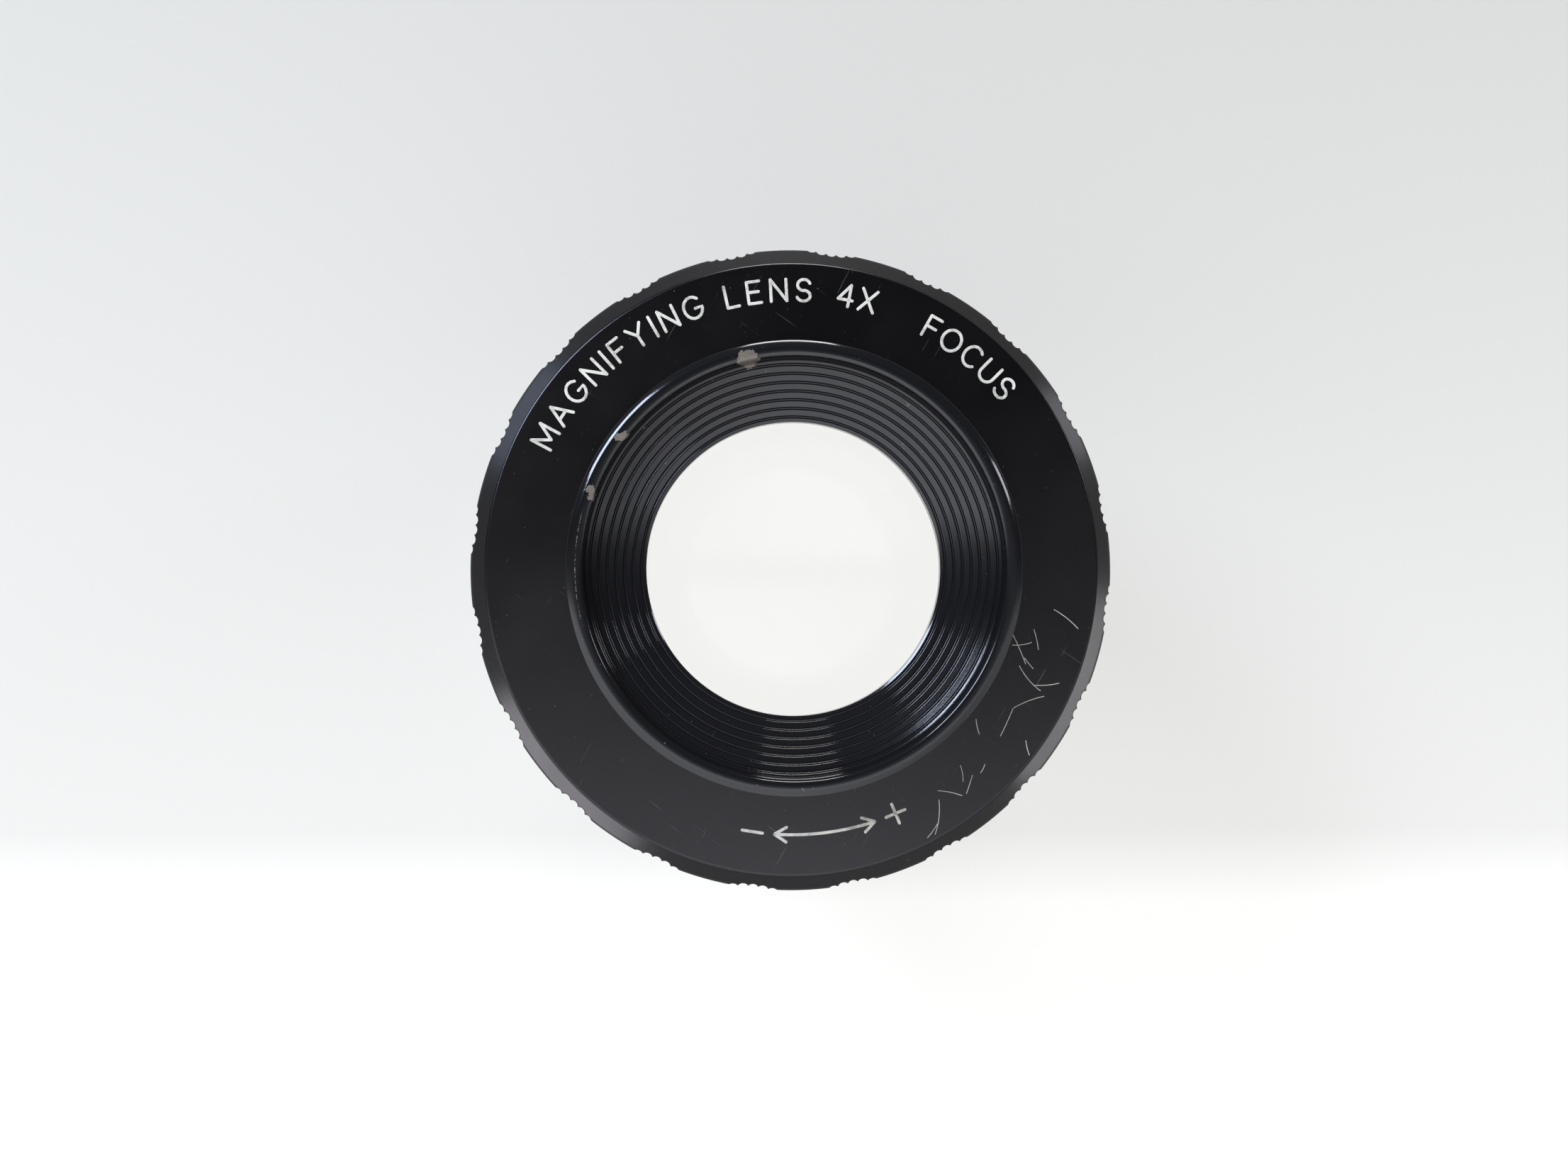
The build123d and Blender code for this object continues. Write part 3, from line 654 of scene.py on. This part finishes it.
def barrelProfile():
    # from the top of the guide bore over the neck, down the outside and back up the bore
    outer, top, bottom = barrelHigh.x / mm, barrelHigh.z / mm, barrelLow.z / mm
    neck, shoulder, edge = barrel["neckRadius"], barrel["shoulder"], barrel["edge"]
    spigot, seat, bore = barrel["spigotRadius"], barrel["seat"], barrel["boreRadius"]
    guide, guideBottom = barrel["guideRadius"], barrel["guideBottom"]
    grooveLow, grooveHigh, grooveRadius = barrel["groove"]
    trimLow, trimHigh, trimDepth = barrel["trim"]
    outline = [(guide, top), (neck, top), (neck, grooveHigh), (grooveRadius, grooveHigh)]
    outline += [(grooveRadius, grooveLow), (neck, grooveLow), (neck, shoulder), (outer - edge, shoulder)]
    outline += [(outer, shoulder - edge), (outer, trimHigh), (outer - trimDepth, trimHigh)]
    outline += [(outer - trimDepth, trimLow), (outer, trimLow), (outer, seat), (spigot, seat)]
    outline += [(spigot, bottom), (bore, bottom), (bore, guideBottom - bore + guide), (guide, guideBottom)]
    return inMetres(outline)


mainBarrel = finishPiece("mainBarrel", turned(barrelProfile()), [barrelPaint], "stand", ["main_barrel"],
                         bevel=barrel["bevel"] * mm)
start, end = barrel["screwReach"]
drill(mainBarrel, radialRods(1, barrel["screwAngle"], barrel["screwHeight"] * mm,
                             start * mm, end * mm, barrel["screwRadius"] * mm))
print("barrel made")


# clear skirt
skirt = {
    "boreRadius": 25.1, "topRadius": 27.3, "step": 16.15, "footWall": 3.0, "footRound": 0.4,
    "footFlare": 0.04, "bevel": 0.15,
    "screws": 3, "screwAngle": 90.0, "screwHeight": 19.45,
    # start, end and radius of the countersink and of the screw hole
    "holes": ((26.2, 31, 2.0), (24, 27, 1.1)),
}


def skirtProfile():
    top, soft, bore = skirtHigh.z / mm, skirt["footRound"], skirt["boreRadius"]
    footRadius = skirtHigh.x / mm + skirt["footFlare"]
    outline = [(bore, top), (skirt["topRadius"], top)]
    outline += arcPoints((footRadius - soft, soft), soft, -4, -90, 6)
    outline += arcPoints((footRadius - skirt["footWall"] + soft, soft), soft, -90, -184, 6)
    outline.append((bore, skirt["step"]))
    return inMetres(outline)


clearSkirt = finishPiece("clearSkirt", turned(skirtProfile()), [skirtPlastic], "stand", ["clear_skirt"],
                         bevel=skirt["bevel"] * mm)
for start, end, radius in skirt["holes"]:
    drill(clearSkirt, radialRods(skirt["screws"], skirt["screwAngle"], skirt["screwHeight"] * mm,
                                 start * mm, end * mm, radius * mm))
print("clear skirt made")


# engraved words and marks, filled with off-white paint (mm, and clock angles in degrees)
engraving = {
    "capHeight": 2.02, "baseline": 24.95, "stroke": 0.138, "proud": 0.015,
    "words": (("MAGNIFYING", -63.8, -19.2), ("LENS", -13.9, 3.6), ("4X", 9.5, 17.2), ("FOCUS", 28.7, 50.8)),
    "arrow": {"radius": 24.6, "from": 162.0, "to": 184.0, "steps": 24, "head": 1.1, "headSpread": 0.62,
              "signGap": 4.8, "signHalf": 0.95},
    "fewPoints": 8,
    "grimy": (0.30, 0.29, 0.265, 1), "cream": (0.66, 0.64, 0.575, 1), "fresh": (0.70, 0.68, 0.62, 1),
}


def oval(centreX, centreY, halfWidth, halfHeight, start, end, steps=14):
    turns = [radians(start + (end - start) * step / steps) for step in range(steps + 1)]
    return [(centreX + halfWidth * cos(turn), centreY + halfHeight * sin(turn)) for turn in turns]


# single-line letters: width, then strokes, in shares of the cap height
letters = {
    "A": (0.78, [[(0, 0), (0.39, 1), (0.78, 0)], [(0.13, 0.33), (0.65, 0.33)]]),
    "C": (0.76, [oval(0.42, 0.5, 0.42, 0.5, 48, 312)]),
    "E": (0.58, [[(0.58, 1), (0, 1), (0, 0), (0.58, 0)], [(0, 0.52), (0.5, 0.52)]]),
    "F": (0.56, [[(0.56, 1), (0, 1), (0, 0)], [(0, 0.5), (0.48, 0.5)]]),
    "G": (0.82, [oval(0.43, 0.5, 0.43, 0.5, 45, 345) + [(0.85, 0.44), (0.52, 0.44)]]),
    "I": (0.0, [[(0, 0), (0, 1)]]),
    "L": (0.54, [[(0, 1), (0, 0), (0.54, 0)]]),
    "M": (0.86, [[(0, 0), (0, 1), (0.43, 0.2), (0.86, 1), (0.86, 0)]]),
    "N": (0.72, [[(0, 0), (0, 1), (0.72, 0), (0.72, 1)]]),
    "O": (0.9, [oval(0.45, 0.5, 0.45, 0.5, 0, 360, 24)]),
    "S": (0.62, [oval(0.31, 0.74, 0.29, 0.26, 20, 270) + oval(0.31, 0.25, 0.31, 0.25, 80, -160)]),
    "U": (0.72, [[(0, 1)] + oval(0.36, 0.36, 0.36, 0.36, 180, 360) + [(0.72, 1)]]),
    "X": (0.7, [[(0, 0), (0.7, 1)], [(0, 1), (0.7, 0)]]),
    "Y": (0.76, [[(0, 1), (0.38, 0.5), (0.76, 1)], [(0.38, 0.5), (0.38, 0)]]),
    "4": (0.66, [[(0.5, 0), (0.5, 1), (0, 0.3), (0.66, 0.3)]]),
}


def wordStrokes(word, start, end):
    # letters spread evenly between two clock angles, each one upright on its own radius
    height, radius = engraving["capHeight"], engraving["baseline"]
    room = radians(end - start) * (radius + height / 2)
    widths = [letters[letter][0] * height for letter in word]
    gap = (room - sum(widths)) / max(1, len(word) - 1)
    along = 0.0
    strokes = []
    for letter, width in zip(word, widths):
        clock = radians(start) + (along + width / 2) / (radius + height / 2)
        for line in letters[letter][1]:
            stroke = []
            for x, y in line:
                side, up = x * height - width / 2, radius + y * height
                stroke.append((side * cos(clock) + up * sin(clock), up * cos(clock) - side * sin(clock)))
            strokes.append(stroke)
        along += width + gap
    return strokes


def onFace(clock, radius):
    return (radius * sin(radians(clock)), radius * cos(radians(clock)))


def arrowStrokes():
    # a curved double arrow between a minus and a plus: which way to turn the ring
    arrow = engraving["arrow"]
    low, high, radius, steps = arrow["from"], arrow["to"], arrow["radius"], arrow["steps"]
    strokes = [[onFace(low + (high - low) * step / steps, radius) for step in range(steps + 1)]]
    back = degrees(arrow["head"] / radius)
    spread = arrow["head"] * arrow["headSpread"]
    for clock, way in ((low, 1), (high, -1)):
        behind = clock + way * back
        strokes.append([onFace(behind, radius + spread), onFace(clock, radius),
                        onFace(behind, radius - spread)])
    half = degrees(arrow["signHalf"] / radius)
    plus, minus = low - arrow["signGap"], high + arrow["signGap"]
    strokes.append([onFace(plus - half, radius), onFace(plus + half, radius)])
    strokes.append([onFace(plus, radius - arrow["signHalf"]), onFace(plus, radius + arrow["signHalf"])])
    strokes.append([onFace(minus - half, radius), onFace(minus + half, radius)])
    return strokes


def paintFilled(name, strokes, width, proud, material):
    # round-ended lines laid on the ring's face: a fine tube along each stroke, pressed flat
    curve = bpy.data.curves.new(name + "Path", "CURVE")
    curve.dimensions = "3D"
    curve.bevel_depth = width
    curve.bevel_resolution = 3
    curve.use_fill_caps = True
    # a stroke of few points is laid leg by leg, so that no corner thins it, and gets a ball at each point
    legs = []
    joints = []
    for stroke in strokes:
        cornered = len(stroke) < engraving["fewPoints"]
        legs += list(zip(stroke, stroke[1:])) if cornered else [stroke]
        joints += stroke if cornered else [stroke[0], stroke[-1]]
    for leg in legs:
        line = curve.splines.new("POLY")
        line.points.add(len(leg) - 1)
        for point, (x, y) in zip(line.points, leg):
            point.co = (x * mm, y * mm, 0, 1)
    path = bpy.data.objects.new(name + "Path", curve)
    bpy.context.scene.collection.objects.link(path)
    mesh = bpy.data.meshes.new_from_object(path.evaluated_get(bpy.context.evaluated_depsgraph_get()))
    bm = bmesh.new()
    bm.from_mesh(mesh)
    for x, y in joints:
        bmesh.ops.create_uvsphere(bm, u_segments=12, v_segments=8, radius=width,
                                  matrix=Matrix.Translation((x * mm, y * mm, 0)))
    bmesh.ops.scale(bm, vec=(1, 1, proud / width), verts=bm.verts)
    bmesh.ops.translate(bm, vec=(0, 0, faceTop), verts=bm.verts)
    bpy.data.objects.remove(path)
    bpy.data.curves.remove(curve)
    bpy.data.meshes.remove(mesh)
    return finishPiece(name, bm, [material], "focus_head", sharp=60)


def fillPaint(name, share):
    # old paint; share is how much of it is left clean
    material, tree, shader, place = startMaterial(name, **{"Specular IOR Level": 0.3})
    grime = noiseOf(tree, place, 2400.0, 5.0, 0.7)
    patch = noiseOf(tree, place, 420.0, 3.0)
    worn = between(tree, grime, 0.40, 0.62, 0.0, share)
    colour = blendColours(tree, worn, engraving["grimy"], engraving["cream"])
    shade = blendColours(tree, between(tree, patch, 0.35, 0.65, 0.0, share), colour, engraving["fresh"])
    tree.links.new(shade, shader.inputs["Base Color"])
    tree.links.new(between(tree, grime, 0.3, 0.7, 0.55, 0.85), shader.inputs["Roughness"])
    tree.links.new(bumpFrom(tree, grime, 0.5, 0.03 * mm), shader.inputs["Normal"])
    return material


# fine scratches where fingers and pockets have rubbed the face (mm, and clock angles in degrees)
scuffs = {
    "seed": 11, "count": 17, "clocks": (92, 152), "radii": (22.0, 27.6), "lengths": (0.7, 3.4),
    "slants": (25, 80), "bends": (-0.25, 0.25), "points": 10, "leastPoints": 4,
    "inside": 21.2, "outside": 28.1, "width": 0.035, "proud": 0.006,
}


def hairScratches():
    draw = Random(scuffs["seed"])
    strokes = []
    for _ in range(scuffs["count"]):
        clock = draw.uniform(*scuffs["clocks"])
        x, y = onFace(clock, draw.uniform(*scuffs["radii"]))
        way = radians(90 - clock + draw.choice((-1, 1)) * draw.uniform(*scuffs["slants"]))
        length = draw.uniform(*scuffs["lengths"])
        bend = draw.uniform(*scuffs["bends"])
        stroke = []
        for step in range(scuffs["points"]):
            along = length * (step / (scuffs["points"] - 1) - 0.5)
            side = bend * (along / length) ** 2 * length
            point = (x + along * cos(way) - side * sin(way), y + along * sin(way) + side * cos(way))
            if scuffs["inside"] < sqrt(point[0] ** 2 + point[1] ** 2) < scuffs["outside"]:
                stroke.append(point)
        if len(stroke) >= scuffs["leastPoints"]:
            strokes.append(stroke)
    return strokes


whiteFill = fillPaint("engravingFill", 1.0)
rubbedPaint = fillPaint("rubbedPaint", 0.4)
strokeWidth, strokeProud = engraving["stroke"] * mm, engraving["proud"] * mm
for word, start, end in engraving["words"]:
    paintFilled("engraved_" + word, wordStrokes(word, start, end), strokeWidth, strokeProud, whiteFill)
paintFilled("engraved_turnArrow", arrowStrokes(), strokeWidth, strokeProud, whiteFill)
paintFilled("faceScratches", hairScratches(), scuffs["width"] * mm, scuffs["proud"] * mm, rubbedPaint)
print("engraving made")


# CAD nodes that stay get their finish here
nodeFinish = {
    "ring_screws": blackSteel, "guide_screw": blackSteel, "skirt_screws": blackSteel,
    "helicoid_sleeve": greasedBrass, "thrust_washer": washerBlack, "lens_washer": washerBlack,
    "light_baffle": flatBlack, "field_stop": flatBlack, "lens_spacer": flatBlack,
    "focus_tube": barrelPaint, "lens_cell": barrelPaint, "rear_retaining_ring": barrelPaint,
}
for node, material in nodeFinish.items():
    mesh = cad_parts[node].data
    mesh.materials.clear()
    mesh.materials.append(material)
print("CAD nodes finished")


# floor, light and camera
studio = {
    "floorSize": 3.0, "floorDrop": 0.02, "paperDark": (0.24, 0.237, 0.226, 1),
    # floorReach, floorBack and floorFront set a painted glow on the floor, brighter at the front (-Y) than at
    # the back; tableEdge and the entry after it add a step of painted glow in front of the ring
    "paperPale": (0.262, 0.259, 0.248, 1), "floorReach": 0.09, "floorBack": 0.35, "floorFront": 0.68,
    "tableEdge": (-0.040, -0.031), "frontBandPaintedGlow": 0.16, "floorMirror": 0.25,
    # the floor inside the skirt, which is what the lens shows: a painted pool of glow on a dark base colour
    "underRadius": 0.027, "underFade": 0.002, "underPaintedGlow": 0.90, "underColour": (0.06, 0.06, 0.06, 1),
    # clock angle, tilt from straight up, distance, width, height, radiance, colour
    "lamps": {
        "upperLeftKey": (-50, 46, 0.55, 0.20, 0.15, 24.0, (0.72, 0.84, 1.0)),
        "topLamp": (1, 71, 0.55, 0.20, 0.14, 18.0, (0.98, 0.97, 0.94)),
        "upperRightSmall": (67, 56, 0.55, 0.08, 0.12, 10.0, (0.94, 0.96, 1.0)),
        "rightBox": (62, 96, 0.27, 0.06, 0.08, 2.6, (0.95, 0.95, 1.0)),
        "lowerRightBox": (112, 96, 0.27, 0.18, 0.08, 3.2, (1.0, 0.99, 0.97)),
        "lowerLeftBox": (228, 96, 0.27, 0.18, 0.08, 3.8, (0.98, 0.97, 1.0)),
        "leftBox": (302, 92, 0.27, 0.10, 0.08, 2.0, (0.62, 0.78, 1.0)),
    },
    "overhead": 80,
    # radiance of the room by how far a direction leans to +Y
    "room": ((-0.60, 1.70), (-0.16, 1.92), (-0.05, 0.40), (0.03, 0.14), (0.14, 0.01), (0.30, 0.08),
             (0.60, 0.10)),
    "roomRight": 0.55, "rightBand": (0.05, 0.55), "roomTint": (0.97, 0.985, 1.0, 1),
    "horizon": 0.18, "horizonBand": (0.10, 0.40), "backdrop": (0.78, 0.80, 0.82, 1),
}


def makeFloor():
    bm = bmesh.new()
    bmesh.ops.create_grid(bm, x_segments=8, y_segments=8, size=studio["floorSize"])
    bmesh.ops.translate(bm, vec=(0, 0, cadBox[0].z - studio["floorDrop"] * mm), verts=bm.verts)
    mesh = bpy.data.meshes.new("floor")
    bm.to_mesh(mesh)
    bm.free()
    material, tree, shader, place = startMaterial("paleFloor", **{
        "Roughness": 0.6, "Specular IOR Level": 0.2, "Emission Color": (1.0, 0.997, 0.990, 1)})
    paper = blendColours(tree, noiseOf(tree, place, 3.0, 2.0), studio["paperDark"], studio["paperPale"])
    radius = radiusOf(tree, place)[0]
    across = addNode(tree, "ShaderNodeSeparateXYZ", {"Vector": place}).outputs[1]
    # painted light: the floor's glow is painted brighter at the front (-Y) than at the back, with a step of
    # extra painted glow in front of the ring
    reach = studio["floorReach"]
    paintedGlowSweep = between(tree, across, -reach, reach, studio["floorFront"], studio["floorBack"])
    paintedFrontBand = between(tree, across, *studio["tableEdge"], studio["frontBandPaintedGlow"], 0.0)
    # painted light: a glowing pool on the floor inside the skirt, on a dark base colour, so that the lens
    # shows an even bright field
    edge = studio["underRadius"]
    paintedPoolMask = between(tree, radius, edge, edge + studio["underFade"], 1.0, 0.0)
    glow = blendValues(tree, paintedPoolMask, maths(tree, "ADD", paintedGlowSweep, paintedFrontBand), studio["underPaintedGlow"])
    tree.links.new(blendColours(tree, paintedPoolMask, paper, studio["underColour"]), shader.inputs["Base Color"])
    # gloss on the object sees the painted floor glow dimmer than the eye does, straight on or through the
    # glass
    path = addNode(tree, "ShaderNodeLightPath").outputs
    mirrored = maths(tree, "SUBTRACT", path["Is Glossy Ray"], path["Is Transmission Ray"])
    dimming = between(tree, mirrored, 0.0, 1.0, 1.0, studio["floorMirror"])
    tree.links.new(maths(tree, "MULTIPLY", glow, dimming), shader.inputs["Emission Strength"])
    mesh.materials.append(material)
    floor = bpy.data.objects.new("floor", mesh)
    bpy.context.scene.collection.objects.link(floor)


def makeWorld():
    # a bright table on the -Y side, a dim room on the +Y side, an even dim band at the horizon
    world = bpy.data.worlds.new("room")
    world.use_nodes = True
    bpy.context.scene.world = world
    tree = world.node_tree
    tree.nodes.clear()
    way = addNode(tree, "ShaderNodeTexCoord").outputs["Generated"]
    right, back, up = addNode(tree, "ShaderNodeSeparateXYZ", {"Vector": way}).outputs
    room = studio["room"]
    value = room[0][1]
    for (low, lowValue), (high, highValue) in zip(room, room[1:]):
        value = maths(tree, "ADD", value, between(tree, back, low, high, 0.0, highValue - lowValue))
    rightShare = between(tree, right, *studio["rightBand"], 1.0, studio["roomRight"])
    value = maths(tree, "MULTIPLY", value, rightShare)
    radiance = blendValues(tree, between(tree, up, *studio["horizonBand"]), studio["horizon"], value)
    lit = addNode(tree, "ShaderNodeBackground", {"Color": studio["roomTint"], "Strength": radiance})
    seen = addNode(tree, "ShaderNodeBackground", {"Color": studio["backdrop"], "Strength": 1.0})
    direct = addNode(tree, "ShaderNodeLightPath").outputs["Is Camera Ray"]
    out = addNode(tree, "ShaderNodeOutputWorld")
    tree.links.new(mixShaders(tree, direct, lit.outputs[0], seen.outputs[0]), out.inputs["Surface"])


def makeLamps():
    # the coated lenses throw back almost nothing of the lamps above them
    coated = bpy.data.collections.new("coatedLenses")
    for lens in lenses:
        coated.objects.link(lens)
    for entry in coated.collection_objects:
        entry.light_linking.link_state = "EXCLUDE"
    for name, (clock, tilt, distance, width, height, radiance, colour) in studio["lamps"].items():
        light = bpy.data.lights.new(name, "AREA")
        light.shape = "RECTANGLE"
        light.size = width
        light.size_y = height
        light.energy = radiance * pi * width * height
        light.color = colour
        lamp = bpy.data.objects.new(name, light)
        way = Vector((sin(radians(clock)) * sin(radians(tilt)), cos(radians(clock)) * sin(radians(tilt)),
                      cos(radians(tilt))))
        lamp.location = way * distance + Vector((0, 0, faceTop))
        lamp.rotation_euler = way.to_track_quat("Z", "Y").to_euler()
        lamp.visible_camera = False
        bpy.context.scene.collection.objects.link(lamp)
        if tilt < studio["overhead"]:
            lamp.light_linking.receiver_collection = coated


# the camera looks down the axis from the eye end, a little off to the left; place and distance in mm
view = {"sensor": 36.0, "lens": 42.3, "place": (-6.6, -3.6), "distance": 172.4, "way": (0.0338, 0.0109, -1.0)}


def makeCamera():
    data = bpy.data.cameras.new("heroCamera")
    data.sensor_width = view["sensor"]
    data.lens = view["lens"]
    data.clip_start = 0.01
    camera = bpy.data.objects.new("heroCamera", data)
    x, y = view["place"]
    camera.location = (x * mm, y * mm, faceTop - ring["chamfer"] * mm + view["distance"] * mm)
    forward = Vector(view["way"]).normalized()
    right = forward.cross(Vector((0, 1, 0))).normalized()
    up = right.cross(forward)
    camera.rotation_euler = Matrix((right, up, -forward)).transposed().to_euler()
    bpy.context.scene.collection.objects.link(camera)
    bpy.context.scene.camera = camera


makeFloor()
makeWorld()
makeLamps()
makeCamera()
bpy.context.scene.view_settings.view_transform = "Standard"
print("floor, light and camera ready")
